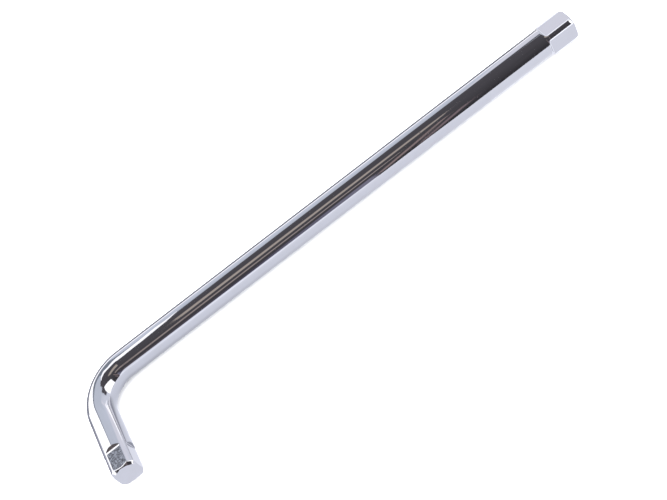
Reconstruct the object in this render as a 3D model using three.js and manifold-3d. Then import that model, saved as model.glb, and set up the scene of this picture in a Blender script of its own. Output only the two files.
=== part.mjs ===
// L-shaped socket handle: a round bar bent through a right angle, with a square drive on each end.
// Each square holds a detent ball and its coil spring in a blind pocket.
// Millimetres, +Z up. The handle lies flat: long leg along +X, short leg along -Y.
import * as THREE from 'three';
import { mergeVertices } from 'three/addons/utils/BufferGeometryUtils.js';
import Module from 'manifold-3d';

const wasm = await Module();
wasm.setup();

// Bar. Leg lengths run from the axis of the other leg to the tip.
const SQUARE_DRIVE = 12.7;
const FLAT_DEPTH = 1.15;
const LONG_LEG = 300;
const SHORT_LEG = 58.5;
const BEND_RADIUS = 20.5;

// Square on the long leg. Its corners are upset past the round bar.
const LONG_FLAT_LENGTH = 15.4;
const LONG_SHOULDER_LENGTH = 1.15;
const LONG_CORNER_SWELL = 0.4;
const LONG_SWELL_RUN = 2.6;
const LONG_CHAMFER_LENGTH = 2.2;
const LONG_CHAMFER_DEPTH = 1.2;
const LONG_BALL_FROM_TIP = 7.6;

// Square on the short leg. Its flats are milled into the round bar.
const SHORT_FLAT_LENGTH = 13;
const SHORT_SHOULDER_LENGTH = 1.1;
const SHORT_CHAMFER_LENGTH = 1.5;
const SHORT_CHAMFER_DEPTH = 1.6;
const SHORT_BALL_FROM_TIP = 6.6;

// Small bevel where each flat meets the end face.
const END_BREAK = 0.4;

// Detent: the ball stands out of its flat, and its pocket follows it with a running clearance.
const BALL_DIAMETER = 6;
const BALL_PROTRUSION = 1.1;
const BALL_CLEARANCE = 0.2;
const WIRE_DIAMETER = 0.6;
const SPRING_TURNS = 3.5;
const SPRING_RISE = 4.2;
const COIL_CLEARANCE = 0.7;
const SEAT_GAP = 0.3;

// Facets.
const BAR_SIDES = 48;
const BEND_STEPS = 16;
const SWELL_STEPS = 6;
const POCKET_SIDES = 32;
const SEAT_STEPS = 5;
const BALL_SIDES = 24;
const BALL_RINGS = 16;
const COIL_STEPS_PER_TURN = 14;
const WIRE_SIDES = 8;

// Cutters run this far past the metal that they cut.
const CUT_OVERRUN = 3;

const halfSquare = SQUARE_DRIVE / 2;
const barRadius = halfSquare + FLAT_DEPTH;
const ballRadius = BALL_DIAMETER / 2;
const ballDepth = ballRadius - BALL_PROTRUSION;
const pocketRadius = ballRadius + BALL_CLEARANCE;
const coilRadius = pocketRadius - COIL_CLEARANCE - WIRE_DIAMETER / 2;

// From the ball's centre down to the middle of the wire in the spring's top turn.
const seatReach = ballRadius + WIRE_DIAMETER / 2 + SEAT_GAP;
const springTop = Math.sqrt(seatReach ** 2 - coilRadius ** 2);
const pocketFloor = springTop + SPRING_RISE + WIRE_DIAMETER / 2 + SEAT_GAP;

const chrome = new THREE.MeshStandardMaterial({ color: 0xd9dae0, roughness: 0.12, metalness: 1 });
const polishedSteel = new THREE.MeshStandardMaterial({ color: 0xc6c8cc, roughness: 0.18, metalness: 1 });
const springSteel = new THREE.MeshStandardMaterial({ color: 0x8f9298, roughness: 0.35, metalness: 1 });

// Turns a closed geometry into a solid. Triangles that shrink to a line on an axis are dropped.
function solid(geometry) {
  const bare = geometry.clone();
  bare.deleteAttribute('normal');
  bare.deleteAttribute('uv');
  const merged = mergeVertices(bare);
  const index = merged.index.array;
  const triangles = [];
  for (let i = 0; i < index.length; i += 3) {
    const [a, b, c] = index.slice(i, i + 3);
    if (a !== b && b !== c && c !== a) {
      triangles.push(a, b, c);
    }
  }
  const vertProperties = new Float32Array(merged.attributes.position.array);
  const triVerts = new Uint32Array(triangles);
  return new wasm.Manifold(new wasm.Mesh({ numProp: 3, vertProperties, triVerts }));
}

function geometryOf(body) {
  const mesh = body.getMesh();
  const geometry = new THREE.BufferGeometry();
  geometry.setAttribute('position', new THREE.BufferAttribute(mesh.vertProperties, 3));
  geometry.setIndex(new THREE.BufferAttribute(mesh.triVerts, 1));
  geometry.computeVertexNormals();
  return geometry;
}

function circle(radius) {
  const shape = new THREE.Shape();
  shape.absarc(0, 0, radius, 0, 2 * Math.PI, false);
  return shape;
}

// The bar's axis as a list of stations, so that the straight legs take one step each.
class StationPath extends THREE.Curve {
  constructor(stations) {
    super();
    this.stations = stations;
  }

  getPoint(t, target = new THREE.Vector3()) {
    const along = t * (this.stations.length - 1);
    const first = Math.min(Math.floor(along), this.stations.length - 2);
    return target.copy(this.stations[first].point).lerp(this.stations[first + 1].point, along - first);
  }

  getTangent(t, target = new THREE.Vector3()) {
    const nearest = Math.round(t * (this.stations.length - 1));
    return target.copy(this.stations[nearest].tangent);
  }

  getUtoTmapping(u) {
    return u;
  }
}

const alongLong = new THREE.Vector3(1, 0, 0);
const alongShort = new THREE.Vector3(0, -1, 0);
const swellStart = LONG_LEG - LONG_FLAT_LENGTH - LONG_SHOULDER_LENGTH;

function barStations() {
  const stations = [{ point: alongShort.clone().multiplyScalar(SHORT_LEG), tangent: alongShort.clone().negate() }];
  for (let step = 0; step <= BEND_STEPS; step += 1) {
    const angle = (step / BEND_STEPS) * (Math.PI / 2);
    const x = BEND_RADIUS * (1 - Math.cos(angle));
    const y = BEND_RADIUS * (Math.sin(angle) - 1);
    stations.push({
      point: new THREE.Vector3(x, y, 0),
      tangent: new THREE.Vector3(Math.sin(angle), Math.cos(angle), 0),
    });
  }
  for (let step = 0; step <= SWELL_STEPS; step += 1) {
    const x = swellStart + (step / SWELL_STEPS) * LONG_SWELL_RUN;
    stations.push({ point: new THREE.Vector3(x, 0, 0), tangent: alongLong.clone() });
  }
  stations.push({ point: alongLong.clone().multiplyScalar(LONG_LEG), tangent: alongLong.clone() });
  return stations;
}

// The round bar, bent, with the long leg's end swelling out to the upset corners.
function roundBar() {
  const stations = barStations();
  const bar = new THREE.ExtrudeGeometry(circle(barRadius), {
    extrudePath: new StationPath(stations),
    steps: stations.length - 1,
    curveSegments: BAR_SIDES / 2,
  });
  const position = bar.attributes.position;
  for (let i = 0; i < position.count; i += 1) {
    const run = THREE.MathUtils.smoothstep(position.getX(i), swellStart, swellStart + LONG_SWELL_RUN);
    const grow = 1 + (run * LONG_CORNER_SWELL) / barRadius;
    position.setY(i, position.getY(i) * grow);
    position.setZ(i, position.getZ(i) * grow);
  }
  return solid(bar);
}

// An end's own frame: tip at the origin, +Z out of the tip, the detent on the +X flat.
function endFrame(outward, legLength, detentSide) {
  const across = outward.clone().cross(detentSide);
  const tip = outward.clone().multiplyScalar(legLength);
  return new THREE.Matrix4().makeBasis(detentSide, across, outward).setPosition(tip);
}

// Both detents are on the outer side of the bend.
const ends = {
  long: {
    frame: endFrame(alongLong, LONG_LEG, alongShort.clone().negate()),
    cornerRadius: barRadius + LONG_CORNER_SWELL,
    flatLength: LONG_FLAT_LENGTH,
    shoulderLength: LONG_SHOULDER_LENGTH,
    chamferLength: LONG_CHAMFER_LENGTH,
    chamferDepth: LONG_CHAMFER_DEPTH,
    ballFromTip: LONG_BALL_FROM_TIP,
  },
  short: {
    frame: endFrame(alongShort, SHORT_LEG, alongLong.clone().negate()),
    cornerRadius: barRadius,
    flatLength: SHORT_FLAT_LENGTH,
    shoulderLength: SHORT_SHOULDER_LENGTH,
    chamferLength: SHORT_CHAMFER_LENGTH,
    chamferDepth: SHORT_CHAMFER_DEPTH,
    ballFromTip: SHORT_BALL_FROM_TIP,
  },
};

// What is cut away outside one flat: end bevel, flat and sloped shoulder, drawn in the X-Z plane.
function flatCutter(end, turn) {
  const reach = end.cornerRadius + CUT_OVERRUN;
  const slope = end.shoulderLength / FLAT_DEPTH;
  const profile = new THREE.Shape();
  profile.moveTo(halfSquare - END_BREAK - CUT_OVERRUN, CUT_OVERRUN);
  profile.lineTo(reach, CUT_OVERRUN);
  profile.lineTo(reach, -end.flatLength - slope * (reach - halfSquare));
  profile.lineTo(halfSquare, -end.flatLength);
  profile.lineTo(halfSquare, -END_BREAK);
  profile.closePath();
  const cutter = new THREE.ExtrudeGeometry(profile, { depth: 2 * reach, bevelEnabled: false });
  cutter.translate(0, 0, -reach);
  cutter.rotateX(Math.PI / 2);
  cutter.rotateZ(turn);
  return cutter;
}

// The ring that is turned off the tip, so that the corners lead into a socket.
function chamferCutter(end) {
  const slope = end.chamferDepth / end.chamferLength;
  const tipRadius = end.cornerRadius - end.chamferDepth;
  const reach = end.cornerRadius + CUT_OVERRUN;
  const ring = new THREE.LatheGeometry([
    new THREE.Vector2(tipRadius - slope * CUT_OVERRUN, CUT_OVERRUN),
    new THREE.Vector2(reach, -(reach - tipRadius) / slope),
    new THREE.Vector2(reach, CUT_OVERRUN),
    new THREE.Vector2(tipRadius - slope * CUT_OVERRUN, CUT_OVERRUN),
  ], BAR_SIDES);
  ring.rotateX(Math.PI / 2);
  return ring;
}

// The blind pocket, turned about the ball's axis: floor, wall and a lip that closes over the ball.
function pocketCutter() {
  const lip = Math.asin(ballDepth / pocketRadius);
  const profile = [new THREE.Vector2(0, -pocketFloor), new THREE.Vector2(pocketRadius, -pocketFloor)];
  for (let step = 0; step <= SEAT_STEPS; step += 1) {
    const angle = (step / SEAT_STEPS) * lip;
    profile.push(new THREE.Vector2(pocketRadius * Math.cos(angle), pocketRadius * Math.sin(angle)));
  }
  profile.push(new THREE.Vector2(pocketRadius * Math.cos(lip), ballDepth + CUT_OVERRUN));
  profile.push(new THREE.Vector2(0, ballDepth + CUT_OVERRUN));
  return new THREE.LatheGeometry(profile, POCKET_SIDES);
}

// Stands a detent piece, made about +Y with the ball's centre at the origin, in its end's +X flat.
function placeDetent(geometry, end) {
  geometry.rotateZ(-Math.PI / 2);
  geometry.translate(halfSquare - ballDepth, 0, -end.ballFromTip);
  return geometry.applyMatrix4(end.frame);
}

function handleBar() {
  let bar = roundBar();
  for (const end of Object.values(ends)) {
    for (let side = 0; side < 4; side += 1) {
      bar = bar.subtract(solid(flatCutter(end, side * (Math.PI / 2)).applyMatrix4(end.frame)));
    }
    bar = bar.subtract(solid(chamferCutter(end).applyMatrix4(end.frame)));
    bar = bar.subtract(solid(placeDetent(pocketCutter(), end)));
  }
  return geometryOf(bar);
}

// The middle of the spring's wire, winding down from under the ball.
class CoilPath extends THREE.Curve {
  getPoint(t, target = new THREE.Vector3()) {
    const angle = t * SPRING_TURNS * 2 * Math.PI;
    return target.set(coilRadius * Math.cos(angle), -springTop - t * SPRING_RISE, coilRadius * Math.sin(angle));
  }
}

const coilSteps = Math.round(SPRING_TURNS * COIL_STEPS_PER_TURN);

function springWire() {
  return new THREE.ExtrudeGeometry(circle(WIRE_DIAMETER / 2), {
    extrudePath: new CoilPath(),
    steps: coilSteps,
    curveSegments: WIRE_SIDES / 2,
  });
}

// Least clear space between two stretches of wire that lie half a turn or more apart.
function leastSpringGap() {
  const points = new CoilPath().getPoints(coilSteps);
  const apart = Math.ceil(COIL_STEPS_PER_TURN / 2);
  let least = Infinity;
  for (let i = 0; i < points.length; i += 1) {
    for (let j = i + apart; j < points.length; j += 1) {
      least = Math.min(least, points[i].distanceTo(points[j]) - WIRE_DIAMETER);
    }
  }
  return least;
}

function piece(name, geometry, material) {
  const mesh = new THREE.Mesh(geometry, material);
  mesh.name = name;
  return mesh;
}

// The origin lies under the middle of the handle's box, on the surface that it rests on.
const handle = new THREE.Group();
handle.position.set((barRadius - LONG_LEG) / 2, (SHORT_LEG - barRadius) / 2, barRadius);
handle.add(piece('handle_bar', handleBar(), chrome.clone()));
for (const [name, end] of Object.entries(ends)) {
  const ball = new THREE.SphereGeometry(ballRadius, BALL_SIDES, BALL_RINGS);
  handle.add(piece(`${name}_drive_ball`, placeDetent(ball, end), polishedSteel.clone()));
  handle.add(piece(`${name}_drive_spring`, placeDetent(springWire(), end), springSteel.clone()));
}

console.log(`least gap between spring turns: ${leastSpringGap().toFixed(3)} mm`);

export default handle;
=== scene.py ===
"""L-shaped socket handle: a bent chrome bar with a sprung detent ball in each square end."""

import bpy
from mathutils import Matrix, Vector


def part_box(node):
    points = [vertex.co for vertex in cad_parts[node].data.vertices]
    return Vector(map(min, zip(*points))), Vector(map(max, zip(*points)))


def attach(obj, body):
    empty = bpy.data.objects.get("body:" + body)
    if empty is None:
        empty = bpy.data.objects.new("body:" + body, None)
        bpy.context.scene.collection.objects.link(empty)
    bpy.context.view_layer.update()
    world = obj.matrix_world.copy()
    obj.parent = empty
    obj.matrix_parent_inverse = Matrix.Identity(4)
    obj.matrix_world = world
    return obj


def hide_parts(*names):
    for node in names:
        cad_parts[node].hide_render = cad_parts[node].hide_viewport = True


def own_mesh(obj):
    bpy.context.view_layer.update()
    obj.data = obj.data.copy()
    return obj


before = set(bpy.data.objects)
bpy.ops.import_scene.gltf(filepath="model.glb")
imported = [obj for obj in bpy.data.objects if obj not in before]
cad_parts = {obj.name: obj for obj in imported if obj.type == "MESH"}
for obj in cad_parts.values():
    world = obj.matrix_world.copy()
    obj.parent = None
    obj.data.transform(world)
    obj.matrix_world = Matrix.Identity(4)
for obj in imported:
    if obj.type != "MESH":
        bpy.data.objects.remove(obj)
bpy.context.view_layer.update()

import math

import bpy
import numpy as np
from bpy.props import FloatProperty, FloatVectorProperty, IntProperty, PointerProperty
from bpy.types import NodeSocket, Operator, Panel, PropertyGroup
from mathutils import Matrix, Vector

bl_info = {
    "name": "Socket handle",
    "version": (1, 0, 0),
    "blender": (4, 5, 0),
    "location": "3D View > Sidebar > Handle",
    "description": "Dresses the bent handle bar, its detent balls and its springs, and sets the studio",
    "category": "Object",
}

MM = 0.001
SHARP_ANGLE = math.radians(38)

BAR_LOW, BAR_HIGH = (Vector(corner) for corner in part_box("handle_bar"))
BAR_RADIUS = (BAR_HIGH.z - BAR_LOW.z) / 2
# Where the axes of the two legs cross.
CROSSING = Vector((BAR_LOW.x + BAR_RADIUS, BAR_HIGH.y - BAR_RADIUS, BAR_RADIUS))
LONG_LEG = BAR_HIGH.x - CROSSING.x
SHORT_LEG = CROSSING.y - BAR_LOW.y

# Angles round the bar run from the outside of the bend upwards.
CORNER_ANGLE, CORNER_COSINE = math.pi / 4, 0.7
LOW_FRONT_ANGLE = -3 * math.pi / 4
# From the middle of a flat to where a corner's swell begins.
SWELL_ANGLE = math.radians(12)
# Half width of the groove that is punched round a pocket.
STAKE_WIDTH = 0.16 * MM

# Spacing of the rings of points on the squares, and how far the fine ones go on beside a shoulder.
FLAT_STEP, SHOULDER_STEP, SWELL_STEP = 0.12 * MM, 0.07 * MM, 0.2 * MM
BEFORE_SHOULDER, PAST_SHOULDER, RIM_GAP = 0.4 * MM, 0.7 * MM, 0.1 * MM
RIM_RINGS, SHORT_RINGS, BEND_RINGS, LONG_RINGS = 9, 14, 64, 110
# Rings on an end face, as shares of its radius.
END_FACE_SHARES = np.array([0.92, 0.75, 0.5, 0.25])
TURNED_SIDES, BALL_RINGS, LIP_RINGS = 96, 64, 10
WIRE_SIDES, WIRE_STEPS = 16, 56

# Forged waves: their lengths, how far they keep from the tips and the run over which they fade.
LONG_WAVE, SHORT_WAVE, SLOW_TWIST, FAST_TWIST = 9.1 * MM, 5.3 * MM, 31 * MM, 23 * MM
WAVES_CLEAR, WAVES_FADE = 24 * MM, 8 * MM
# Bevel of a pocket's lip below and past its flat, and the slope that the drill leaves.
LIP_BEVEL, LIP_PAST, DRILL_POINT = 0.1 * MM, 0.06 * MM, 0.35 * MM
# How close to a flat or to the round bar a point counts as on it.
ON_FLAT, NEAR_FLAT, ON_BAR = 0.03 * MM, 0.1 * MM, 0.02 * MM
# Soft edge of a finish, and the strips of painted highlight beside a ridge and at the foot of a shoulder.
SOFT_EDGE, HIGHLIGHT_WIDTH, HIGHLIGHT_FOOT = 0.4 * MM, 0.6 * MM, 0.2 * MM
# Share of coarse plate on the short square's shoulders, and share of painted highlight on the long square's
# shoulders.
SHOULDER_COARSENESS, SHOULDER_HIGHLIGHT = 0.7, 0.4

# Relief of the metal's marks in metres, and what they add to its roughness.
WAVE_HEIGHT, HAIRLINE_HEIGHT, PIT_DEPTH, COARSE_HEIGHT = 9.0e-6, 2.5e-7, 6.0e-6, 3.5e-5
HAIRLINE_ROUGHNESS, PIT_ROUGHNESS, COARSE_SPREAD = 0.07, 0.15, 0.2
BLOTCH_DARKNESS = 0.25

# Light of the mirrored cards, where more than one part of the room has it.
BRIGHT, WHITE = (2.3, 2.3, 2.3), (2.0, 2.0, 2.03)
PALE, GREY = (1.08, 1.12, 1.23), (0.92, 0.97, 1.07)
MIST, SLATE = (1.03, 1.09, 1.23), (0.88, 0.94, 1.05)
FRONT, FRONT_FAR = (1.28, 1.33, 1.45), (1.50, 1.54, 1.66)
# Share of the room's own tone that its walls fade to at the top.
WALL_TOP = 1.3
BACK_WALL_Y, FRONT_WALL_Y, RIGHT_WALL_X = 0.5255, -0.90, 0.90
TABLE_LEVEL, FLOOR_LEVEL = -0.2 * MM, -0.1 * MM


def length(name, description, default_mm):
    """A size in metres, with its default in millimetres."""
    return FloatProperty(name=name, description=description, default=default_mm * MM, min=0.0,
                         precision=5, subtype="DISTANCE", unit="LENGTH")


def colour(name, description, default):
    """A colour that the user may change."""
    return FloatVectorProperty(name=name, description=description, default=default, size=3,
                               min=0.0, max=4.0, subtype="COLOR")


def share(name, description, default):
    """A plain number from 0 to 1."""
    return FloatProperty(name=name, description=description, default=default, min=0.0, max=1.0,
                         subtype="FACTOR")


def turn_angle(name, description, degrees):
    """An angle of the camera, with its default in degrees."""
    return FloatProperty(name=name, description=description, default=math.radians(degrees),
                         subtype="ANGLE", unit="ROTATION")


class HandleBarSizes(PropertyGroup):
    """Sizes of the bent bar and of its two squares."""
    square_drive: length("Square drive", "Distance across the flats of both squares", 12.7)
    bend_radius: length("Bend radius", "Radius of the bend, at the middle of the bar", 20.5)
    long_flat: length("Long flat", "Length of the flats on the long leg", 15.4)
    long_shoulder: length("Long shoulder", "Length of the slope behind the long leg's flats", 1.15)
    long_swell: length("Long swell", "How far the long square's corners stand out from the bar", 0.5)
    long_low_swell: length("Long low swell", "How far that square's low front corner stands out", 1.2)
    long_swell_run: length("Long swell run", "Length over which the bar swells to those corners", 2.6)
    long_nose: length("Long nose", "Length that is rounded over at the long leg's tip", 2.8)
    long_nose_depth: length("Long nose depth", "How far the corners come in at the long leg's tip", 2.0)
    long_ball: length("Long ball", "From the long leg's tip to the middle of its ball", 7.6)
    short_flat: length("Short flat", "Length of the flats on the short leg", 13.0)
    short_shoulder: length("Short shoulder", "Length of the slope behind the short leg's flats", 1.1)
    short_nose: length("Short nose", "Length that is tapered at the short leg's tip", 1.5)
    short_nose_depth: length("Short nose depth", "How far the corners come in at the short leg's tip", 1.6)
    short_low_nose_depth: length("Short low nose depth", "How far its low corners come in at the tip", 0.3)
    short_ball: length("Short ball", "From the short leg's tip to the middle of its ball", 6.6)
    coarse_inset: length("Coarse inset", "Bright margin beside the short square's coarse plate", 0.2)
    coarse_start: length("Coarse start", "Bright margin between that coarse plate and the tip's taper", 0.6)
    coarse_end: length("Coarse end", "From the short leg's tip to the end of that coarse plate", 11.9)
    end_break: length("End break", "Bevel where a flat meets its end face", 0.4)
    edge_round: length("Edge round", "How far the ridges between faces are rounded over", 0.12)
    shoulder_fillet: length("Shoulder fillet", "Rounding in the corner at the foot of a shoulder", 0.25)
    rim_round: length("Rim round", "Radius on the rim of an end face", 0.3)
    unevenness: length("Unevenness", "Slow rise and fall of the forged surface", 0.03)
    columns: IntProperty(name="Columns", description="Faces around the bar", default=480, min=48, max=960)


class DetentSizes(PropertyGroup):
    """Sizes of the detent balls, their pockets and their springs."""
    ball: length("Ball", "Diameter of a detent ball", 6.0)
    protrusion: length("Protrusion", "How far a ball stands out of its flat", 1.1)
    clearance: length("Clearance", "Room around a ball in its pocket", 0.2)
    worn_crown: length("Worn crown", "Height rubbed off a ball where sockets slide over it", 0.02)
    pocket_floor: length("Pocket floor", "From a ball's middle down to the floor of its pocket", 7.65)
    stake_radius: length("Stake radius", "Radius of the groove that is punched round a pocket", 3.4)
    stake_depth: length("Stake depth", "Depth of that groove", 0.14)
    wire: length("Wire", "Diameter of the spring wire", 0.6)
    spring_turns: FloatProperty(name="Spring turns", description="Turns in a spring", default=3.5, min=1.0)


class HandleFinishes(PropertyGroup):
    """Colours and polish of the metal."""
    plate: colour("Plate", "Bright plating on the bar", (0.530, 0.530, 0.565))
    coarse: colour("Coarse plate", "Plating over the rougher flats of the short square", (0.26, 0.275, 0.325))
    # Painted highlight: a brighter plate on the long square's flat edges and shoulders, standing in for the
    # highlights there.
    burnished: colour("Edge highlights", "Edges that sockets have rubbed bright", (0.88, 0.88, 0.90))
    ball: colour("Ball steel", "Polished steel of the balls", (0.56, 0.565, 0.58))
    wire: colour("Spring wire", "Drawn steel of the springs", (0.36, 0.36, 0.37))
    plate_gloss: share("Plate roughness", "Roughness of the clean plating", 0.05)
    coarse_gloss: share("Coarse roughness", "Roughness of the short square's flats", 0.30)
    ball_gloss: share("Ball roughness", "Roughness of a clean ball", 0.06)
    wire_gloss: share("Wire roughness", "Roughness of the spring wire", 0.28)


class StudioSettings(PropertyGroup):
    """Camera, floor and light."""
    azimuth: turn_angle("Azimuth", "Camera's turn about the vertical", 1.094)
    elevation: turn_angle("Elevation", "Camera's height as an angle", 47.547)
    roll: turn_angle("Roll", "Camera's turn about its own axis", 38.282)
    distance: length("Distance", "From the camera to the point that it looks at", 520.0)
    target: FloatVectorProperty(name="Target", description="Point that the camera looks at", size=3,
                                default=(-7.919 * MM, 0.408 * MM, 7.5 * MM), subtype="TRANSLATION",
                                unit="LENGTH", precision=5)
    focal: FloatProperty(name="Focal length", description="Focal length in pixels of the photo's frame",
                         default=1076.349, min=1.0)
    floor: colour("Floor", "Colour of the floor", (0.82, 0.82, 0.83))
    sky: colour("Sky", "Colour of the soft light from all round", (1.0, 1.0, 1.0))
    sky_strength: FloatProperty(name="Sky strength", description="Strength of that light",
                                default=3.6, min=0.0)
    room: colour("Room", "Dark room that the metal mirrors", (0.112, 0.107, 0.118))


# Meshes

def new_piece(name, mesh, body, slot, *nodes):
    """Put a mesh in the scene as a piece that rides on a body, in place of CAD nodes."""
    piece = bpy.data.objects.new(name, mesh)
    bpy.context.scene.collection.objects.link(piece)
    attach(piece, body)
    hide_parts(*nodes)
    return piece


def stage_piece(name, mesh):
    """Put a mesh in the scene as part of the stage."""
    piece = bpy.data.objects.new(name, mesh)
    bpy.context.scene.collection.objects.link(piece)
    return piece


def mesh_from(name, points, faces):
    """A mesh from points and faces, smooth except at sharp edges."""
    mesh = bpy.data.meshes.new(name)
    mesh.from_pydata(np.asarray(points).tolist(), [], faces)
    if mesh.validate():
        raise RuntimeError(f"{name} has faces that Blender had to repair")
    finish_mesh(mesh)
    return mesh


def finish_mesh(mesh):
    """Shade smooth, with real edges kept sharp."""
    mesh.shade_smooth()
    mesh.set_sharp_from_angle(angle=SHARP_ANGLE)
    mesh.update()


def closed_tube_faces(rings, columns):
    """Quads between rings of points and a fan on both ends, whose middle points follow the rings."""
    sides = [(column, (column + 1) % columns) for column in range(columns)]
    count = rings * columns
    last = count - columns
    faces = [(low + a, low + b, low + columns + b, low + columns + a)
             for low in range(0, last, columns) for a, b in sides]
    faces += [(b, a, count) for a, b in sides]
    faces += [(last + a, last + b, count + 1) for a, b in sides]
    return faces


def points_of(mesh):
    """A mesh's points, as rows of three numbers."""
    points = np.empty(len(mesh.vertices) * 3, dtype=np.float32)
    mesh.vertices.foreach_get("co", points)
    return points.reshape(-1, 3)


def store_values(mesh, name, kind, values):
    """Keep one value a point on a mesh, for its material."""
    layer = mesh.attributes.new(name, kind, "POINT")
    field = {"FLOAT": "value", "FLOAT_VECTOR": "vector", "FLOAT_COLOR": "color"}[kind]
    layer.data.foreach_set(field, np.asarray(values, dtype=np.float32).ravel())


# The bent bar

def smooth_min(a, b, rounding):
    """The lesser of two distances, with the crease between them rounded over."""
    mix = np.clip(0.5 + 0.5 * (b - a) / rounding, 0.0, 1.0)
    return b * (1 - mix) + a * mix - rounding * mix * (1 - mix)


def smooth_step(t):
    """An even rise from 0 to 1."""
    t = np.clip(t, 0.0, 1.0)
    return t * t * (3 - 2 * t)


class SquareEnd:
    """One square of the bar, measured from its tip along the leg."""

    def __init__(self, bar, detent, long_end):
        side = "long" if long_end else "short"
        self.flat, self.shoulder, self.nose, self.nose_depth, self.ball = (
            getattr(bar, f"{side}_{size}") for size in ("flat", "shoulder", "nose", "nose_depth", "ball"))
        self.half = bar.square_drive / 2
        self.low_nose_depth = self.nose_depth if long_end else bar.short_low_nose_depth
        self.swell = bar.long_swell if long_end else 0.0
        self.low_swell = bar.long_low_swell if long_end else 0.0
        self.swell_run = bar.long_swell_run
        self.bar = bar
        self.detent = detent

    def flat_distance(self, u):
        """How far the flats stand from the axis, u from the tip."""
        rise = (u - self.flat) * (BAR_RADIUS - self.half) / self.shoulder
        shoulder = self.half - smooth_min(-rise, np.zeros_like(rise), self.bar.shoulder_fillet)
        bevel = self.half - self.bar.end_break + u
        return smooth_min(shoulder, bevel, self.bar.edge_round)

    def corner_swell(self, angle):
        """How far the corner at an angle stands out: the low front one was forged further out."""
        least = math.cos(CORNER_ANGLE)
        low = smooth_step((np.cos(angle - LOW_FRONT_ANGLE) - least) / (1 - least))
        return self.swell + (self.low_swell - self.swell) * low

    def nose_radius(self, u, angle, swell):
        """Distance of the tip from the axis: the long one is a quarter ellipse, the short one tapers."""
        into = 1 - u / self.nose
        inset = 1 - np.sqrt(1 - np.clip(into, 0.0, 1.0) ** 2) if self.swell else into
        low_side = smooth_step(0.5 - CORNER_COSINE * np.sin(angle))
        depth = self.nose_depth + (self.low_nose_depth - self.nose_depth) * low_side + swell - self.swell
        return BAR_RADIUS + swell - depth * inset

    def rim_inset(self, u):
        """How far the rounded rim of the end face comes in."""
        rim = self.bar.rim_round
        into = np.clip(rim - u, 0.0, rim)
        return rim - np.sqrt(np.maximum(rim * rim - into * into, 0.0))

    def stake_groove(self, u, angle, r):
        """Depth of the groove that is punched round the ball's pocket to narrow its mouth."""
        facing_ball = np.cos(angle)
        reach = np.hypot(u - self.ball, r * np.sin(angle))
        groove = np.exp(-((reach - self.detent.stake_radius) / STAKE_WIDTH) ** 2)
        depth = self.detent.stake_depth * groove / np.maximum(facing_ball, CORNER_COSINE)
        return np.where(facing_ball > CORNER_COSINE, depth, 0.0)

    def radius(self, u, angle):
        """Distance of the surface from the axis, u from the tip, at an angle round it."""
        rounding = self.bar.edge_round
        from_flat = (angle + CORNER_ANGLE) % (2 * CORNER_ANGLE) - CORNER_ANGLE
        # Only the corners swell, from the top of the shoulder on.
        at_corner = smooth_step((abs(from_flat) - SWELL_ANGLE) / (CORNER_ANGLE - SWELL_ANGLE))
        swell = self.corner_swell(angle)
        swell_start = self.flat + self.shoulder
        swollen = BAR_RADIUS + swell * at_corner * smooth_step((swell_start - u) / self.swell_run)
        flats = self.flat_distance(u) / np.cos(from_flat)
        nose = self.nose_radius(u, angle, swell)
        r = smooth_min(smooth_min(swollen, flats, rounding), nose, 2 * rounding) - self.rim_inset(u)
        return r - self.stake_groove(u, angle, r)

    def rows(self):
        """Places along the square that carry a ring of points, from the tip."""
        rim = self.bar.rim_round
        rim_rows = rim * (1 - np.cos(np.linspace(0, math.pi / 2, RIM_RINGS)))
        shoulder_start = self.flat - BEFORE_SHOULDER
        shoulder_end = self.flat + self.shoulder + PAST_SHOULDER
        parts = [rim_rows, np.arange(rim + RIM_GAP, shoulder_start, FLAT_STEP),
                 np.arange(shoulder_start, shoulder_end, SHOULDER_STEP)]
        if self.swell:
            parts.append(np.arange(shoulder_end, shoulder_end + self.swell_run, SWELL_STEP))
        return np.concatenate(parts)


class BarPath:
    """The bar's middle line, from the short leg's tip round the bend to the long leg's tip."""

    def __init__(self, bend_radius):
        self.bend = bend_radius
        self.short_run = SHORT_LEG - bend_radius
        self.turn = bend_radius * math.pi / 2
        self.total = self.short_run + self.turn + LONG_LEG - bend_radius

    def at(self, s):
        """Point on the middle line and the way to the outside of the bend, for each s."""
        angle = np.clip((s - self.short_run) / self.bend, 0.0, math.pi / 2)
        along_long = np.maximum(s - self.short_run - self.turn, 0.0)
        before = np.minimum(s, self.short_run)
        x = CROSSING.x + self.bend * (1 - np.cos(angle)) + along_long
        y = CROSSING.y - SHORT_LEG + before + self.bend * np.sin(angle)
        outside = np.stack([-np.cos(angle), np.sin(angle), np.zeros_like(s)], -1)
        return np.stack([x, y, np.full_like(s, CROSSING.z)], -1), outside

    def unbend(self, points):
        """Where points of the bar would lie if it were straight: along it, outward and up."""
        x, y, z = (points - np.array(CROSSING)).T
        middle_x, middle_y = self.bend, -self.bend
        on_short = y < middle_y
        on_long = ~on_short & (x > middle_x)
        along_bend = self.short_run + self.bend * np.arctan2(y - middle_y, middle_x - x)
        along_long = self.short_run + self.turn + x - middle_x
        from_bend = np.hypot(x - middle_x, y - middle_y) - self.bend
        along = np.where(on_short, y + SHORT_LEG, np.where(on_long, along_long, along_bend))
        outward = np.where(on_short, -x, np.where(on_long, y, from_bend))
        return np.stack([along, outward, z], -1)


def forged_waves(s, angle):
    """Slow unevenness of the forged bar, from 0 to 1."""
    # Two waves run along the bar and two twist round it, each from a start of its own.
    along = np.sin(s / LONG_WAVE + 0.8 * np.sin(angle)) + np.sin(s / SHORT_WAVE + 2 * angle + 1.0)
    around = np.sin(2 * angle + s / SLOW_TWIST) + 0.6 * np.sin(3 * angle - s / FAST_TWIST + 0.7)
    return 0.5 + 0.11 * along + 0.15 * around


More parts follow.
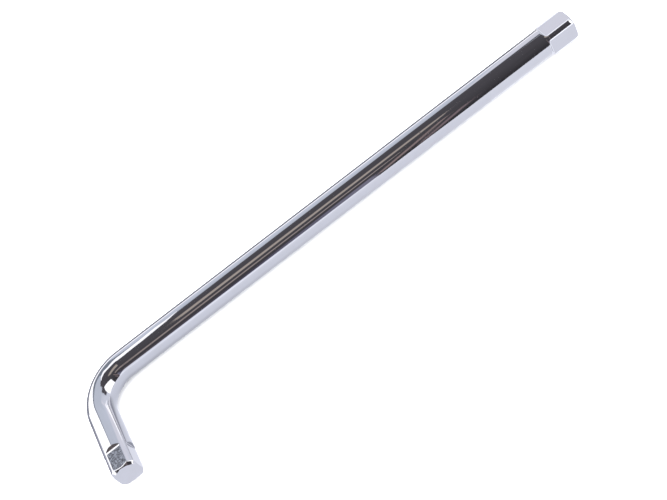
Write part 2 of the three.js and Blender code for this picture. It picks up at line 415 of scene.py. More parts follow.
def bar_rows(short_end, long_end, path):
    """Places along the bar that carry a ring of points, from the short tip."""
    short_rows = short_end.rows()
    long_rows = path.total - long_end.rows()[::-1]
    bend_end = path.short_run + path.turn
    return np.concatenate([
        short_rows,
        np.linspace(short_rows[-1] + MM, path.short_run, SHORT_RINGS, endpoint=False),
        np.linspace(path.short_run, bend_end, BEND_RINGS, endpoint=False),
        np.linspace(bend_end, long_rows[0] - MM, LONG_RINGS),
        long_rows,
    ])


def bar_mesh(bar, detent, path):
    """The bar's skin, ring by ring, with both end faces."""
    short_end = SquareEnd(bar, detent, False)
    long_end = SquareEnd(bar, detent, True)
    s = bar_rows(short_end, long_end, path)
    angle = np.linspace(0, 2 * math.pi, bar.columns, endpoint=False)
    grid_s, grid_angle = np.meshgrid(s, angle, indexing="ij")
    from_long_tip = path.total - grid_s
    r = np.where(grid_s < path.total / 2, short_end.radius(grid_s, grid_angle),
                 long_end.radius(from_long_tip, grid_angle))
    fade = smooth_step((grid_s - WAVES_CLEAR) / WAVES_FADE)
    fade *= smooth_step((from_long_tip - WAVES_CLEAR) / WAVES_FADE)
    r -= bar.unevenness * fade * forged_waves(grid_s, grid_angle)
    # Rings on the two end faces, shrinking to a point.
    face_rings = len(END_FACE_SHARES)
    s = np.concatenate([np.full(face_rings, s[0]), s, np.full(face_rings, s[-1])])
    r = np.concatenate([END_FACE_SHARES[::-1, None] * r[:1], r, END_FACE_SHARES[:, None] * r[-1:]])
    centre, outside = path.at(s)
    up = np.array([0.0, 0.0, 1.0])
    points = (centre[:, None, :] + (r * np.cos(angle))[..., None] * outside[:, None, :]
              + (r * np.sin(angle))[..., None] * up)
    points = np.concatenate([points.reshape(-1, 3), centre[[0, -1]]])
    return mesh_from("bent_bar", points, closed_tube_faces(len(s), bar.columns))


def turned_mesh(name, profile, sides):
    """A closed solid of turning about Z, from radii and heights that start and end on the axis."""
    turn = np.linspace(0, 2 * math.pi, sides, endpoint=False)
    radius, height = np.array(profile[1:-1]).T
    points = np.stack([np.outer(radius, np.cos(turn)), np.outer(radius, np.sin(turn)),
                       np.outer(height, np.ones(sides))], -1).reshape(-1, 3)
    ends = [(0.0, 0.0, profile[0][1]), (0.0, 0.0, profile[-1][1])]
    return mesh_from(name, np.concatenate([points, ends]), closed_tube_faces(len(radius), sides))


def detent_axes(bar, detent):
    """For each leg, the middle of its ball at rest and the way that the ball presses out."""
    sink = bar.square_drive / 2 + detent.protrusion - detent.ball / 2
    long_middle = CROSSING + Vector((LONG_LEG - bar.long_ball, sink, 0))
    short_middle = CROSSING + Vector((-sink, bar.short_ball - SHORT_LEG, 0))
    return {"long": (long_middle, Vector((0, 1, 0))), "short": (short_middle, Vector((-1, 0, 0)))}


def facing(middle, outward):
    """Matrix that takes Z to the outward way, about a middle point."""
    return Matrix.Translation(middle) @ outward.to_track_quat("Z", "Y").to_matrix().to_4x4()


def pocket_profile(detent):
    """Half section of a pocket about its ball's middle: floor, wall, closed lip and mouth."""
    room = detent.ball / 2 + detent.clearance
    flat = detent.ball / 2 - detent.protrusion
    lip = [(math.sqrt(room ** 2 - z ** 2), z) for z in np.linspace(0.0, flat - LIP_BEVEL, LIP_RINGS)]
    mouth = lip[-1][0] + LIP_BEVEL + LIP_PAST
    floor = -detent.pocket_floor
    return [(0.0, floor - DRILL_POINT), (room - DRILL_POINT, floor), (room, floor + DRILL_POINT), *lip,
            (mouth, flat + LIP_PAST), (mouth, flat + MM), (0.0, flat + MM)]


def cut_pockets(piece, bar, detent):
    """Drill both ball pockets out of the bar."""
    for name, (middle, outward) in detent_axes(bar, detent).items():
        mesh = turned_mesh(f"{name}_pocket", pocket_profile(detent), TURNED_SIDES)
        mesh.transform(facing(middle, outward))
        cutter = stage_piece(f"{name}_pocket", mesh)
        cut = piece.modifiers.new(cutter.name, "BOOLEAN")
        cut.operation = "DIFFERENCE"
        cut.solver = "MANIFOLD"
        cut.object = cutter
        graph = bpy.context.evaluated_depsgraph_get()
        result = bpy.data.meshes.new_from_object(piece.evaluated_get(graph))
        piece.modifiers.remove(cut)
        if len(result.polygons) <= len(piece.data.polygons) // 2:
            raise RuntimeError(f"{cutter.name} could not be cut")
        bpy.data.objects.remove(cutter)
        bpy.data.meshes.remove(mesh)
        spare = piece.data
        piece.data = result
        bpy.data.meshes.remove(spare)
        result.name = "bent_bar"
        finish_mesh(result)


def coarse_share(bar, along, outward, up):
    """How coarse the plate is: on the short square's milled tops, and a little on its shoulders."""
    half = bar.square_drive / 2
    from_axis = np.hypot(outward, up)
    on_top = (abs(up) > abs(outward)) & (abs(abs(up) - half) < ON_FLAT)
    # The coarse plate keeps clear of the tapered tip, of the shoulder and of the ridges.
    taper = BAR_RADIUS - bar.short_nose_depth * (1 - along / bar.short_nose)
    margin = np.minimum(taper - from_axis - bar.coarse_start, bar.coarse_end - along)
    ridge = math.sqrt(BAR_RADIUS ** 2 - half ** 2)
    margin = np.minimum(margin, ridge - np.minimum(abs(outward), abs(up)) - bar.coarse_inset)
    coarse = on_top * smooth_step(0.5 + margin / SOFT_EDGE)
    milled = (along > bar.short_flat + NEAR_FLAT) & (along < bar.short_flat + bar.short_shoulder)
    return np.maximum(coarse, SHOULDER_COARSENESS * (milled & (from_axis < BAR_RADIUS - ON_BAR)))


def burnish_share(square, from_tip, outward, up):
    """Painted highlight: how much brighter plate lies along the edges of a square's flats, and a little on
    its shoulders.
    """
    face = np.maximum(abs(outward), abs(up))
    aside = np.minimum(abs(outward), abs(up))
    swell = square.corner_swell(np.arctan2(up, outward))
    ridge = np.sqrt((BAR_RADIUS + swell) ** 2 - square.half ** 2)
    near_flat = (face > square.half - NEAR_FLAT) & (from_tip < square.flat)
    # A strip of painted highlight beside each ridge of the flats.
    rubbed = near_flat * (1 - smooth_step((ridge - aside - HIGHLIGHT_WIDTH) / SOFT_EDGE))
    slope = (from_tip > square.flat - HIGHLIGHT_FOOT) & (from_tip < square.flat + square.shoulder)
    return np.maximum(rubbed, SHOULDER_HIGHLIGHT * (slope & (face > square.half - ON_FLAT)))


def mark_bar(mesh, bar, detent, path):
    """Keep on the bar where each point lies along it, where its plate is coarse, and where a painted
    highlight brightens it.
    """
    straight = path.unbend(points_of(mesh).astype(float))
    along, outward, up = straight.T
    long_square = SquareEnd(bar, detent, True)
    store_values(mesh, "unbent", "FLOAT_VECTOR", straight)
    store_values(mesh, "coarse_flat", "FLOAT", coarse_share(bar, along, outward, up))
    store_values(mesh, "burnish", "FLOAT", burnish_share(long_square, path.total - along, outward, up))


# Balls and springs

def ball_mesh(name, detent, middle, outward):
    """A detent ball, rubbed slightly flat on the crown that sockets slide over."""
    radius = detent.ball / 2
    profile = []
    for t in np.linspace(-math.pi / 2, math.pi / 2, BALL_RINGS + 1):
        height = np.array(radius * math.sin(t))
        worn = smooth_min(height, np.array(radius - detent.worn_crown), detent.worn_crown)
        profile.append((radius * math.cos(t), float(worn)))
    mesh = turned_mesh(name, profile, TURNED_SIDES)
    store_values(mesh, "unbent", "FLOAT_VECTOR", points_of(mesh))
    mesh.transform(facing(middle, outward))
    return mesh


def spring_mesh(name, detent, low, high, outward):
    """A coil spring that fills a box on its pocket's axis, with its wire ends cut square."""
    wire = detent.wire / 2
    steps = round(detent.spring_turns * WIRE_STEPS)
    across = max(extent for extent, way in zip(high - low, outward) if not way)
    coil = across / 2 - wire
    rise = abs((high - low).dot(outward)) - 2 * wire
    whole_turn = detent.spring_turns * 2 * math.pi
    t = np.linspace(0, 1, steps + 1)
    turn = t * whole_turn
    centre = np.stack([coil * np.cos(turn), coil * np.sin(turn), (t - 0.5) * rise], -1)
    ahead = np.stack([-coil * np.sin(turn), coil * np.cos(turn), np.full_like(t, rise / whole_turn)], -1)
    ahead /= np.linalg.norm(ahead, axis=1, keepdims=True)
    out = np.stack([np.cos(turn), np.sin(turn), np.zeros_like(t)], -1)
    side = np.cross(ahead, out)
    around = np.linspace(0, 2 * math.pi, WIRE_SIDES, endpoint=False)
    rings = (centre[:, None, :] + wire * (np.cos(around)[:, None] * out[:, None, :]
                                          + np.sin(around)[:, None] * side[:, None, :]))
    points = np.concatenate([rings.reshape(-1, 3), centre[[0, -1]]])
    mesh = mesh_from(name, points, closed_tube_faces(steps + 1, WIRE_SIDES))
    # Where each point would lie if the wire were straight.
    count = (steps + 1) * WIRE_SIDES
    wire_length = whole_turn * math.hypot(coil, rise / whole_turn)
    straight = np.zeros((count + 2, 3))
    straight[:count, 0] = np.repeat(t * wire_length, WIRE_SIDES)
    straight[:count, 1] = np.tile(wire * np.cos(around), steps + 1)
    straight[:count, 2] = np.tile(wire * np.sin(around), steps + 1)
    straight[count + 1, 0] = wire_length
    store_values(mesh, "unbent", "FLOAT_VECTOR", straight)
    mesh.transform(facing((low + high) / 2, outward))
    return mesh


# Materials

class NodeTree:
    """Short calls for making and joining nodes."""

    def __init__(self, tree):
        self.tree = tree

    def add(self, kind, **settings):
        """A new node with these settings."""
        node = self.tree.nodes.new(kind)
        for name, value in settings.items():
            setattr(node, name, value)
        return node

    def put(self, socket, value):
        """Join a socket to another node's output, or set it to a plain value."""
        if isinstance(value, NodeSocket):
            self.tree.links.new(value, socket)
        else:
            socket.default_value = value

    def feed(self, node, **inputs):
        """Set or join a node's inputs by their names, with _ for a space."""
        for name, value in inputs.items():
            self.put(node.inputs[name.replace("_", " ")], value)
        return node

    def math(self, operation, *values):
        """A sum on two or three values."""
        node = self.add("ShaderNodeMath", operation=operation)
        for socket, value in zip(node.inputs, values):
            self.put(socket, value)
        return node.outputs[0]

    def ramp(self, value, low, high):
        """A smooth rise from 0 to 1 as a value goes from low to high."""
        node = self.add("ShaderNodeMapRange", interpolation_type="SMOOTHSTEP")
        return self.feed(node, Value=value, From_Min=low, From_Max=high).outputs["Result"]

    def noise(self, vector, scale, detail, roughness):
        """Soft random values over the surface."""
        node = self.add("ShaderNodeTexNoise")
        self.feed(node, Vector=vector, Scale=scale, Detail=detail, Roughness=roughness)
        return node.outputs["Fac"]

    def stretch(self, vector, factors):
        """A place scaled by a factor along each axis."""
        node = self.add("ShaderNodeMapping")
        return self.feed(node, Vector=vector, Scale=factors).outputs["Vector"]

    def attribute(self, name, output="Fac"):
        """What a mesh keeps on its points under a name."""
        return self.add("ShaderNodeAttribute", attribute_name=name).outputs[output]

    def mix(self, share_of_b, a, b, kind="RGBA", blend="MIX"):
        """A blend of two colours or, of the kind FLOAT, of two values."""
        node = self.add("ShaderNodeMix", data_type=kind, blend_type=blend)
        first, result = {"RGBA": (6, 2), "FLOAT": (2, 0)}[kind]
        for index, value in zip((0, first, first + 1), (share_of_b, a, b)):
            self.put(node.inputs[index], value)
        return node.outputs[result]


def new_material(name):
    """A material with its NodeTree and its shader."""
    material = bpy.data.materials.new(name)
    material.use_nodes = True
    return material, NodeTree(material.node_tree), material.node_tree.nodes["Principled BSDF"]


def new_group(name, inputs, outputs):
    """A shader node group with its NodeTree, inputs and outputs, and its place scaled by its size."""
    group = bpy.data.node_groups.new(name, "ShaderNodeTree")
    group.interface.new_socket("Place", in_out="INPUT", socket_type="NodeSocketVector")
    for socket, kind, value in [("Size", "NodeSocketFloat", 1.0), *inputs]:
        group.interface.new_socket(socket, in_out="INPUT", socket_type=kind).default_value = value
    for socket, kind in outputs:
        group.interface.new_socket(socket, in_out="OUTPUT", socket_type=kind)
    tree = NodeTree(group)
    given, out = tree.add("NodeGroupInput").outputs, tree.add("NodeGroupOutput").inputs
    sized = tree.add("ShaderNodeVectorMath", operation="SCALE")
    place = tree.feed(sized, Vector=given["Place"], Scale=given["Size"]).outputs["Vector"]
    return group, tree, given, out, place


def polish_marks():
    """Hairlines across the metal, a few pits, and smudges from handling."""
    group, tree, given, out, place = new_group(
        "polish_marks",
        [("Base", "NodeSocketFloat", 0.05), ("Smudge", "NodeSocketFloat", 0.05)],
        [("Roughness", "NodeSocketFloat"), ("Height", "NodeSocketFloat")])
    hair = tree.noise(tree.stretch(place, (1.0, 0.06, 0.06)), scale=2600.0, detail=3.0, roughness=0.6)
    hairlines = tree.ramp(hair, 0.60, 0.78)
    smudge = tree.ramp(tree.noise(place, scale=70.0, detail=4.0, roughness=0.6), 0.42, 0.72)
    pits = tree.ramp(tree.noise(place, scale=900.0, detail=1.0, roughness=0.4), 0.735, 0.80)
    rough = tree.math("MULTIPLY_ADD", smudge, given["Smudge"], given["Base"])
    rough = tree.math("MULTIPLY_ADD", hairlines, HAIRLINE_ROUGHNESS, rough)
    rough = tree.math("MULTIPLY_ADD", pits, PIT_ROUGHNESS, rough)
    waves = tree.noise(place, scale=95.0, detail=1.0, roughness=0.4)
    height = tree.math("MULTIPLY", waves, WAVE_HEIGHT)
    height = tree.math("MULTIPLY_ADD", hair, HAIRLINE_HEIGHT, height)
    height = tree.math("MULTIPLY_ADD", pits, -PIT_DEPTH, height)
    tree.put(out["Roughness"], rough)
    tree.put(out["Height"], height)
    return group


def tone_drift():
    """A colour that drifts a little warmer and darker over the surface."""
    group, tree, given, out, place = new_group(
        "tone_drift",
        [("Colour", "NodeSocketColor", (0.5, 0.5, 0.5, 1.0)), ("Amount", "NodeSocketFloat", 0.1)],
        [("Colour", "NodeSocketColor")])
    drift = tree.ramp(tree.noise(place, scale=120.0, detail=3.0, roughness=0.6), 0.35, 0.75)
    amount = tree.math("MULTIPLY", drift, given["Amount"])
    darker = tree.mix(1.0, given["Colour"], (0.82, 0.79, 0.74, 1.0), blend="MULTIPLY")
    tree.put(out["Colour"], tree.mix(amount, given["Colour"], darker))
    return group


def shared_group(tree, make, **inputs):
    """Put a node group that all metals share, made once, in a metal with its own values."""
    group = bpy.data.node_groups.get(make.__name__) or make()
    return tree.feed(tree.add("ShaderNodeGroup", node_tree=group), **inputs).outputs


def metal_material(name, base, roughness, size, drift, smudge):
    """A polished metal: material, NodeTree and shader, with its place, marks and tone."""
    material, tree, shader = new_material(name)
    tree.feed(shader, Metallic=1.0)
    place = tree.attribute("unbent", "Vector")
    marks = shared_group(tree, polish_marks, Place=place, Size=size, Base=roughness, Smudge=smudge)
    tone = shared_group(tree, tone_drift, Place=place, Size=size, Colour=(*base, 1.0), Amount=drift)
    return material, tree, shader, place, marks, tone["Colour"]


def dress(tree, shader, tone, roughness, height):
    """Join a metal's colour, roughness and relief to its shader."""
    bump = tree.feed(tree.add("ShaderNodeBump"), Height=height, Strength=1.0, Distance=1.0)
    tree.feed(shader, Base_Color=tone, Roughness=roughness, Normal=bump.outputs["Normal"])


def plate_material(finish):
    """Bright plating, with a coarser grey plate on the flats of the short square and a painted highlight on
    the edges.
    """
    material, tree, shader, place, marks, tone = metal_material(
        "chrome_plate", finish.plate, finish.plate_gloss, size=1.0, drift=0.12, smudge=0.035)
    coarse = tree.attribute("coarse_flat")
    blotch = tree.ramp(tree.noise(place, scale=1200.0, detail=4.0, roughness=0.75), 0.40, 0.64)
    grain = tree.noise(place, scale=2200.0, detail=3.0, roughness=0.6)
    blotch_tone = (*toned(finish.coarse, BLOTCH_DARKNESS), 1.0)
    tone = tree.mix(coarse, tone, tree.mix(blotch, blotch_tone, (*finish.coarse, 1.0)))
    # Painted highlight: a brighter plate on the long square's flat edges and shoulders.
    tone = tree.mix(tree.attribute("burnish"), tone, (*finish.burnished, 1.0))
    coarse_rough = tree.math("MULTIPLY_ADD", grain, COARSE_SPREAD, finish.coarse_gloss - COARSE_SPREAD / 2)
    rough = tree.mix(coarse, marks["Roughness"], coarse_rough, kind="FLOAT")
    relief = tree.math("MULTIPLY", tree.math("MULTIPLY", grain, coarse), COARSE_HEIGHT)
    dress(tree, shader, tone, rough, tree.math("ADD", marks["Height"], relief))
    return material


def plain_metal(name, base, roughness, **marking):
    """A metal with only the shared marks and drift on it."""
    material, tree, shader, _, marks, tone = metal_material(name, base, roughness, **marking)
    dress(tree, shader, tone, marks["Roughness"], marks["Height"])
    return material


# Stage

def toned(tone, factor):
    """A lighter or darker tone."""
    return tuple(factor * part for part in tone)


def glow_material():
    """A surface that glows with the colour kept on its points, made once."""
    material = bpy.data.materials.get("card_glow")
    if material:
        return material
    material, tree, _ = new_material("card_glow")
    material.node_tree.nodes.clear()
    light = tree.feed(tree.add("ShaderNodeEmission"), Color=tree.attribute("glow", "Color"))
    tree.feed(tree.add("ShaderNodeOutputMaterial"), Surface=light.outputs[0])
    material.cycles.emission_sampling = "NONE"
    return material


def mirrored_piece(name, mesh, glows):
    """Put a glowing mesh on the stage that shows in the metal's reflections alone."""
    store_values(mesh, "glow", "FLOAT_COLOR", glows)
    mesh.materials.append(glow_material())
    piece = stage_piece(name, mesh)
    for ray in ("camera", "diffuse", "transmission", "volume_scatter", "shadow"):
        setattr(piece, f"visible_{ray}", False)


def studio_card(name, rows):
    """A mirrored panel, from rows of two end points with one colour or one for each."""
    points = [point for left, right, *_ in rows for point in (left, right)]
    glows = [(*glow, 1.0) for _, _, *ends in rows for glow in (ends[0], ends[-1])]
    faces = [(2 * i, 2 * i + 1, 2 * i + 3, 2 * i + 2) for i in range(len(rows) - 1)]
    mesh = bpy.data.meshes.new(name)
    mesh.from_pydata(points, [], faces)
    mirrored_piece(name, mesh, glows)


def wall(name, start, end, levels):
    """An upright panel between two points of the floor, with a colour at each level."""
    studio_card(name, [((*start, z), (*end, z), glow) for z, glow in levels])


def low_card(name, level, edges, glow):
    """A level card close over the bar, from its level and the two ends of its rows in millimetres."""
    z = level * MM
    studio_card(name, [((near_x * MM, near_y * MM, z), (far_x * MM, far_y * MM, z), glow)
                       for near_x, near_y, far_x, far_y in edges])


def table_card(name, rows):
    """Part of the mirrored table top, from rows of a depth, a left and a right end, and colours."""
    studio_card(name, [((left, y, TABLE_LEVEL), (right, y, TABLE_LEVEL), *glows)
                       for y, left, right, *glows in rows])


def studio_room(room):
    """The dark room round the stage, as a large ball that is darkest low in front."""
    radius, rings, sides = 6.0, 48, 64
    rise = np.linspace(-math.pi / 2, math.pi / 2, rings)
    profile = [(radius * math.cos(t), radius * math.sin(t)) for t in rise]
    mesh = turned_mesh("dark_room", profile, sides)
    way = points_of(mesh) / radius
    # Share of the room's tone by the angle forward from overhead.
    forward = np.degrees(np.arctan2(-way[:, 1], way[:, 2]))
    level = np.interp(forward, [-70, -20, 20, 60, 90], [1.35, 1.1, 1.0, 0.75, 0.45])
    glows = np.ones((len(way), 4))
    glows[:, :3] = level[:, None] * np.array(room)
    mirrored_piece("dark_room", mesh, glows)


def back_walls(room):
    """The pale wall behind, in four stretches, and the gap in its left corner."""
    dark, lilac, gap = toned(room, WALL_TOP), (1.17, 1.18, 1.28), (0.33, 0.37, 0.43)
    foot, gap_y = 0.1, 0.57
    strip = [(foot, WHITE), (0.17, WHITE)]
    near = [*strip, (0.23, MIST), (0.7, SLATE), (0.81, SLATE), (0.93, dark)]
    far = [*strip, (0.23, lilac), (0.75, lilac), (0.84, GREY), (0.97, dark)]
    right = [(0.0, PALE), (0.45, PALE), (1.4, GREY), (1.65, dark)]
    stretches = {"back_wall": (-0.1, 0.24, near), "back_wall_far": (0.24, 0.5, far),
                 "back_wall_left": (-0.285, -0.1, near), "back_wall_right": (0.5, RIGHT_WALL_X, right)}
    for name, (start, end, levels) in stretches.items():
        wall(name, (start, BACK_WALL_Y), (end, BACK_WALL_Y), levels)
    corner = [(foot, WHITE), (0.22, WHITE), (0.3, gap), (1.1, gap)]
    wall("corner_gap", (-0.42, gap_y), (-0.2, gap_y), corner)


def side_walls(room):
    """Bright panels on the left, and a pale wall, a window and a screen on the right."""
    dark, wall_end, panel_end = toned(room, WALL_TOP), 0.19, (-0.351, 0.195)
    studio_card("left_panel", [((*panel_end, bottom), far_end, BRIGHT) for bottom, far_end in (
        (0.03, (-0.3065, 0.38, 0.07)), (0.25, (-0.313, 0.353, 0.25)), (0.34, (-0.3085, 0.371, 0.34)),
        (0.4, (-0.3045, 0.389, 0.4)), (0.5, (-0.297, 0.421, 0.5)), (1.0, (-0.288, 0.457, 1.0)))])
    wall("left_panel_low", (-0.374, -0.18), panel_end, [(0.0, BRIGHT), (0.3, BRIGHT)])
    levels = ((0.0, 0.0, PALE), (0.75, 0.5, PALE), (1.8, 0.85, GREY), (2.2, 0.95, dark))
    studio_card("right_wall", [((RIGHT_WALL_X, BACK_WALL_Y, far_z), (RIGHT_WALL_X, wall_end, near_z), tone)
                               for far_z, near_z, tone in levels])
    wall("right_wall_end", (RIGHT_WALL_X, wall_end), (RIGHT_WALL_X, -0.07),
         [(0.0, PALE), (0.4, PALE), (0.5, dark)])
    studio_card("window_panel", [((0.529, -0.04, near_z), (1.104, -1.358, far_z), BRIGHT)
                                 for near_z, far_z in ((0.0, 0.0), (0.87, 1.5))])
    # The screen dims the right wall in the short leg, and looks like the back wall in the long one.
    wall("slate_screen", (0.03, 0.25), (0.09, 0.25), [(0.13, MIST), (0.29, SLATE)])


def low_cards(room):
    """Small cards close over the bar: a grey one at the bend, a white streak and a dark shade."""
    low_card("bend_card", 25.0, [
        (-137.1, 26.0, -140.8, 31.3), (-137.2, 23.5, -143.4, 30.7), (-137.4, 21.5, -144.8, 28.4),
        (-136.4, 19.2, -145.5, 24.3), (-132.5, 16.2, -146.1, 20.8), (-133.0, 14.4, -145.0, 16.8),
    ], SLATE)
    # The streak runs from the bend along the start of the long leg.
    low_card("streak_card", 24.0, [
        (-136.7, 21.7, -137.4, 22.5), (-136.9, 23.5, -138.3, 25.8), (-135.4, 25.4, -137.2, 29.6),
        (-132.1, 25.0, -133.6, 28.4), (-129.2, 25.6, -130.1, 30.2), (-124.7, 25.4, -125.2, 30.9),
        (-119.7, 25.6, -120.3, 31.2), (-111.5, 25.8, -112.0, 31.4), (-103.1, 27.0, -103.7, 32.4),
        (-97.0, 27.4, -97.3, 30.9), (-89.7, 30.4, -89.8, 31.4),
    ], WHITE)
    # The shade keeps the beams out of the foot of the long square's ridge.
    low_card("ridge_shade", 26.3, [(122.5, y, 136.5, y) for y in (-3.0, 12.5)], toned(room, 0.85))


def beams(room):
    """Warm beams over the front of the room, which fade into the dark."""
    dark, high = toned(room, WALL_TOP), 1.5
    warm, tan, dull_tan = (0.66, 0.575, 0.5), (0.6, 0.51, 0.47), (0.5, 0.42, 0.39)
    upper = ((-0.15, 0.24, -0.24, dark), (-0.25, 0.31, -0.39, warm),
             (-0.62, 0.31, -0.57, warm), (-0.71, 0.24, -0.71, room))
    studio_card("upper_beam", [((-0.35, left_y, high), (right_x, right_y, high), tone)
                               for left_y, right_x, right_y, tone in upper])
    studio_card("lower_beam", [((-0.46, -0.89, 1.1), (0.1, -0.93, 1.09), room),
                               ((-0.46, -0.94, 1.07), (0.18, -0.97, 1.05), dull_tan, tan),
                               ((-0.46, -1.085, 0.97), (0.18, -1.03, 1.01), dull_tan, tan),
                               ((-0.46, -1.165, 0.91), (0.1, -1.08, 0.97), room)])
    wall("corner_beam", (-0.7, FRONT_WALL_Y), (-0.41, FRONT_WALL_Y),
         [(0.5, dark), (0.62, tan), (0.84, tan), (0.98, dark)])


def front_walls(room):
    """The room's pale low front and the dusk above it, with two slanting red streaks on the right."""
    middle, umber = (1.44, 1.48, 1.6), (0.15, 0.13, 0.15)
    gloom, dusk = (0.11, 0.1, 0.15), (0.33, 0.32, 0.41)
    # Posts from the left end to the right one: the tones low and high on each, and its four levels.
    posts = [(-0.6, FRONT, umber, 0.44, 0.48, 0.52, 0.58), (-0.33, FRONT, umber, 0.18, 0.23, 0.31, 0.4),
             (-0.15, middle, gloom, 0.14, 0.19, 0.31, 0.395), (0.09, FRONT_FAR, dusk, 0.03, 0.08, 0.44, 0.56)]
    edges = [[((x, FRONT_WALL_Y, z), tone) for z, tone in zip((0.0, *levels), (low, low, high, high, room))]
             for x, low, high, *levels in posts]
    for index, (left_edge, right_edge) in enumerate(zip(edges, edges[1:]), 1):
        rows = [(left, right, left_tone, right_tone)
                for (left, left_tone), (right, right_tone) in zip(left_edge, right_edge)]
        studio_card(f"front_wall_{index}", rows)
    streak_y = -0.8
    for name, foot, top, red in (("upper_red", (0.09, 0.21), (0.25, 0.89), (0.5, 0.38, 0.36)),
                                 ("lower_red", (0.15, 0.09), (0.25, 0.51), (0.36, 0.27, 0.28))):
        studio_card(name, [
            ((foot[0], streak_y, foot[1] + step), (top[0], streak_y, top[1] + step), tone)
            for step, tone in ((-0.12, room), (-0.03, red), (0.03, red), (0.12, room))])


def table_top():
    """The table top round the handle, shaded along the foot of the bar and behind."""
    reach, front, end_front, back = 3.0, -0.125, -0.12, 0.046
    edge_left, edge_right, middle, end, behind = -0.2, -0.15, 0.1, 0.4, 0.158
    table, table_far = (1.14, 1.17, 1.28), (1.25, 1.28, 1.38)
    under, under_far = (1.03, 1.07, 1.18), (1.15, 1.18, 1.29)
    shade, edge = (0.41, 0.43, 0.5), (0.36, 0.36, 0.44)
    # The shadow at the foot of the long leg is deepest in the crook.
    shadow = [(front, table, table_far), (-0.025, table, table_far), (0.011, under, under_far)]
    for y, near_share, far_share in ((0.0145, 0.9, 1.0), (0.0167, 0.74, 0.97), (0.019, 0.62, 0.94),
                                     (0.0255, 0.5, 0.9), (back, 0.5, 0.9)):
        shadow.append((y, toned(under, near_share), toned(under_far, far_share)))
    table_card("table_near", [(y, edge_right, middle, near, far) for y, near, far in shadow])
    table_card("table_far_end", [(y, middle, end, tone) for y, tone in (
        (end_front, table_far), (-0.025, table_far), (0.0255, under_far), (back, under_far))])
    table_card("table_front", [(y, -reach, right, FRONT, FRONT_FAR) for y, right in (
        (-reach, 0.2), (-0.9, 0.12), (-0.5, 0.11), (-0.22, middle), (front, middle))])
    table_card("table_right", [(y, left, reach, FRONT) for y, left in (
        (-reach, 0.55), (end_front, 0.55), (end_front, end), (back, end))])
    table_card("table_left_edge", [(y, edge_left, edge_right, tone) for y, tone in (
        (front, table), (-0.035, table), (-0.015, edge), (back, shade))])
    table_card("table_left", [(y, -reach, edge_left, table) for y in (front, back)])
    table_card("table_behind", [(y, -reach, behind, shade) for y in (back, reach)])
    table_card("table_behind_end", [(y, behind, 0.35, BRIGHT) for y in (back, 0.2)])


def studio_floor(tint):
    """A plain pale floor. The metal mirrors the table top's own patches instead."""
    reach = 4.0
    sides = ((-reach, -reach), (reach, -reach), (reach, reach), (-reach, reach))
    corners = [(x, y, FLOOR_LEVEL) for x, y in sides]
    mesh = bpy.data.meshes.new("floor")
    mesh.from_pydata(corners, [], [(0, 1, 2, 3)])
    material, tree, shader = new_material("floor_paper")
    tree.feed(shader, Base_Color=(*tint, 1.0), Roughness=0.9, Specular_IOR_Level=0.0)
    mesh.materials.append(material)
    stage_piece("floor", mesh).visible_glossy = False


def studio_sky(scene, tint, strength):
    """Soft light from all round, which the metal doesn't mirror."""
    world = bpy.data.worlds.new("studio_sky")
    world.use_nodes = True
    sky = world.node_tree.nodes["Background"]
    sky.inputs["Color"].default_value = (*tint, 1.0)
    sky.inputs["Strength"].default_value = strength
    scene.world = world
    world.cycles_visibility.glossy = False


def studio_camera(scene, studio):
    """The camera, at the photo's angle and frame."""
    a, e, r = studio.azimuth, studio.elevation, studio.roll
    back = Vector((math.sin(a) * math.cos(e), -math.cos(a) * math.cos(e), math.sin(e)))
    level = Vector((math.cos(a), math.sin(a), 0.0))
    rise = back.cross(level)
    right = level * math.cos(r) - rise * math.sin(r)
    up = level * math.sin(r) + rise * math.cos(r)
    photo_width, sensor_width = 667, 36.0
    data = bpy.data.cameras.new("photo_camera")
    data.sensor_fit = "HORIZONTAL"
    data.sensor_width = sensor_width
    data.lens = studio.focal / photo_width * sensor_width
    data.clip_start = 0.01
    camera = bpy.data.objects.new("photo_camera", data)
    camera.matrix_world = Matrix((right, up, back)).transposed().to_4x4()
    camera.location = Vector(studio.target) + back * studio.distance
    scene.collection.objects.link(camera)
    scene.camera = camera


# Operators

class HANDLE_OT_stage(Operator):
    """Set the floor, the light, the mirrored walls and the camera"""
    bl_idname = "handle.stage"
    bl_label = "Stage"

    def execute(self, context):
        scene = context.scene
        studio = scene.handle_studio
        studio_floor(studio.floor)
        studio_sky(scene, studio.sky, studio.sky_strength)
        studio_room(studio.room)
        for make in (back_walls, side_walls, low_cards, beams, front_walls):
            make(studio.room)
        table_top()
        studio_camera(scene, studio)
        scene.view_settings.view_transform = "Standard"
        return {"FINISHED"}


class HANDLE_OT_bar(Operator):
    """Make the bent bar with its squares and ball pockets"""
    bl_idname = "handle.bar"
    bl_label = "Bent bar"

    def execute(self, context):
        scene = context.scene
        bar, detent = scene.handle_bar_sizes, scene.handle_detents
        path = BarPath(bar.bend_radius)
        piece = new_piece("bent_bar", bar_mesh(bar, detent, path), "handle", "chrome_plate", "handle_bar")
        cut_pockets(piece, bar, detent)
        mark_bar(piece.data, bar, detent, path)
        piece.data.materials.clear()
        piece.data.materials.append(plate_material(scene.handle_finishes))
        return {"FINISHED"}


class HANDLE_OT_balls(Operator):
    """Make the detent ball of each square"""
    bl_idname = "handle.balls"
    bl_label = "Detent balls"

    def execute(self, context):
        scene = context.scene
        finish = scene.handle_finishes
        steel = plain_metal("ball_steel", finish.ball, finish.ball_gloss, size=3.0, drift=0.25, smudge=0.06)
        for name, axis in detent_axes(scene.handle_bar_sizes, scene.handle_detents).items():
            mesh = ball_mesh(f"{name}_detent_ball", scene.handle_detents, *axis)
            mesh.materials.append(steel)
            new_piece(mesh.name, mesh, f"{name}_ball", "ball_steel", f"{name}_drive_ball")
        return {"FINISHED"}


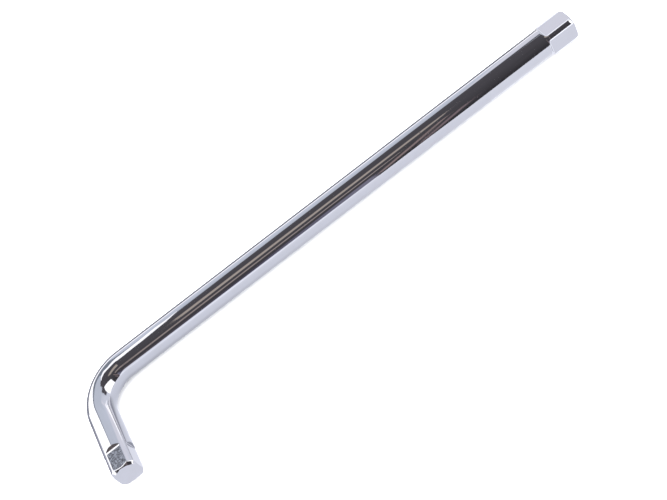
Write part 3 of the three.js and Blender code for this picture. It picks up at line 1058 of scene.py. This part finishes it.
class HANDLE_OT_springs(Operator):
    """Make the spring behind each detent ball"""
    bl_idname = "handle.springs"
    bl_label = "Detent springs"

    def execute(self, context):
        scene = context.scene
        finish, detent = scene.handle_finishes, scene.handle_detents
        steel = plain_metal("spring_steel", finish.wire, finish.wire_gloss, size=2.0, drift=0.4, smudge=0.1)
        for name, (_, outward) in detent_axes(scene.handle_bar_sizes, detent).items():
            low, high = (Vector(corner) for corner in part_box(f"{name}_drive_spring"))
            mesh = spring_mesh(f"{name}_detent_spring", detent, low, high, outward)
            mesh.materials.append(steel)
            piece = new_piece(mesh.name, mesh, "handle", "spring_steel", f"{name}_drive_spring")
            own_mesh(piece)
        return {"FINISHED"}


class HANDLE_PT_panel(Panel):
    """Lists the handle's pieces and their sizes"""
    bl_idname = "HANDLE_PT_panel"
    bl_label = "Socket handle"
    bl_space_type = "VIEW_3D"
    bl_region_type = "UI"
    bl_category = "Handle"

    def draw(self, context):
        for operator in OPERATORS:
            self.layout.operator(operator.bl_idname)
        for name, group in SETTINGS.items():
            box = self.layout.box()
            for field in group.__annotations__:
                box.prop(getattr(context.scene, name), field)


OPERATORS = (HANDLE_OT_stage, HANDLE_OT_bar, HANDLE_OT_balls, HANDLE_OT_springs)
SETTINGS = {
    "handle_bar_sizes": HandleBarSizes,
    "handle_detents": DetentSizes,
    "handle_finishes": HandleFinishes,
    "handle_studio": StudioSettings,
}
CLASSES = (*SETTINGS.values(), *OPERATORS, HANDLE_PT_panel)


def register():
    """Add the classes and the scene's settings to Blender."""
    for cls in CLASSES:
        bpy.utils.register_class(cls)
    for name, group in SETTINGS.items():
        setattr(bpy.types.Scene, name, PointerProperty(type=group))


def unregister():
    """Take them out again."""
    for name in SETTINGS:
        delattr(bpy.types.Scene, name)
    for cls in reversed(CLASSES):
        bpy.utils.unregister_class(cls)


def main():
    register()
    bpy.ops.handle.stage()
    bpy.ops.handle.bar()
    bpy.ops.handle.balls()
    bpy.ops.handle.springs()


if __name__ == "__main__":
    main()
